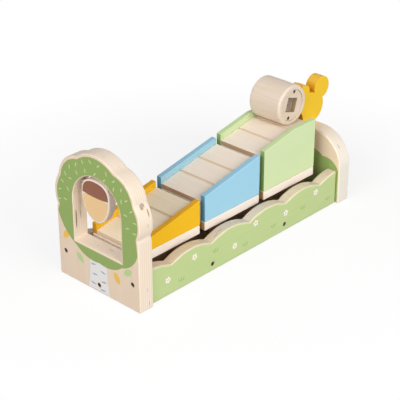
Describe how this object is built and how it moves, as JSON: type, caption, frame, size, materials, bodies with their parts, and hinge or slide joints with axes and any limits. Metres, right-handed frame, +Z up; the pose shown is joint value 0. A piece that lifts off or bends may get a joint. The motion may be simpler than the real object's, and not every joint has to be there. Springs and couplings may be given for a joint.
{
  "type": "wooden toy ball run",
  "caption": "Wooden toy ball run: stepped lift-out ramps in a tray with scalloped rails, a tree-shaped gate with a hanging acorn flap, a squirrel stop and a bored wooden roller.",
  "frame": {"origin": "on the floor, under the middle of the whole toy", "axes": "+X along the tray from the tree panel to the rear panel, +Y across it, +Z up"},
  "size_m": [0.3844, 0.1312, 0.1659],
  "materials": {
    "plywood": "sanded birch plywood, clear matt lacquer",
    "natural_wood": "sanded pale wood, clear matt lacquer",
    "hedge_green": "matt green paint on plywood",
    "yellow_paint": "matt yellow paint on wood",
    "blue_paint": "matt blue paint on wood",
    "green_paint": "matt light green paint on wood",
    "acorn_paint": "matt tan paint with a brown cap",
    "screw_steel": "dark zinc"
  },
  "bodies": {
    "root": {"tree_panel": "plywood", "rear_panel": "plywood", "hedge_near": "hedge_green", "hedge_far": "hedge_green", "bottom_board": "natural_wood", "acorn_pin": "natural_wood", "squirrel": "yellow_paint", "squirrel_dowel_front": "natural_wood", "squirrel_dowel_rear": "natural_wood", "tree_screw_near": "screw_steel", "tree_screw_far": "screw_steel", "tree_screw_bottom": "screw_steel", "rear_screw_near": "screw_steel", "rear_screw_far": "screw_steel", "rear_screw_bottom": "screw_steel", "hedge_near_screw_front": "screw_steel", "hedge_near_screw_rear": "screw_steel", "hedge_far_screw_front": "screw_steel", "hedge_far_screw_rear": "screw_steel"},
    "acorn": {"acorn_flap": "acorn_paint"},
    "yellow_ramp": {"yellow_base_plate": "natural_wood", "yellow_side_near": "yellow_paint", "yellow_side_far": "yellow_paint", "yellow_deck": "natural_wood", "yellow_rear_board": "natural_wood", "yellow_foot": "natural_wood"},
    "blue_ramp": {"blue_base_plate": "natural_wood", "blue_side_near": "blue_paint", "blue_side_far": "blue_paint", "blue_deck": "natural_wood", "blue_front_board": "natural_wood", "blue_rear_board": "natural_wood", "blue_foot": "natural_wood"},
    "green_ramp": {"green_base_plate": "natural_wood", "green_side_near": "green_paint", "green_side_far": "green_paint", "green_deck": "natural_wood", "green_front_board": "natural_wood", "green_rear_board": "natural_wood", "green_foot": "natural_wood"},
    "drum": {"drum_shell": "natural_wood", "drum_end_near": "natural_wood", "drum_end_far": "natural_wood", "drum_near_screw_1": "screw_steel", "drum_near_screw_2": "screw_steel", "drum_far_screw_1": "screw_steel", "drum_far_screw_2": "screw_steel"}
  },
  "joints": [
    {"name": "acorn_swing", "type": "hinge", "parent": "root", "child": "acorn", "pos_m": [-0.18225, 0.006, 0.124], "axis": [0, 1, 0], "range_deg": [-55, 55]},
    {"name": "yellow_lift", "type": "slide", "parent": "root", "child": "yellow_ramp", "axis": [0, 0, 1], "range_m": [0, 0.06]},
    {"name": "blue_lift", "type": "slide", "parent": "root", "child": "blue_ramp", "axis": [0, 0, 1], "range_m": [0, 0.06]},
    {"name": "green_lift", "type": "slide", "parent": "root", "child": "green_ramp", "axis": [0, 0, 1], "range_m": [0, 0.06]},
    {"name": "drum_spin", "type": "hinge", "parent": "green_ramp", "child": "drum", "pos_m": [0.10995, 0.0065, 0.13036], "axis": [0, 1, 0], "continuous": true}
  ]
}
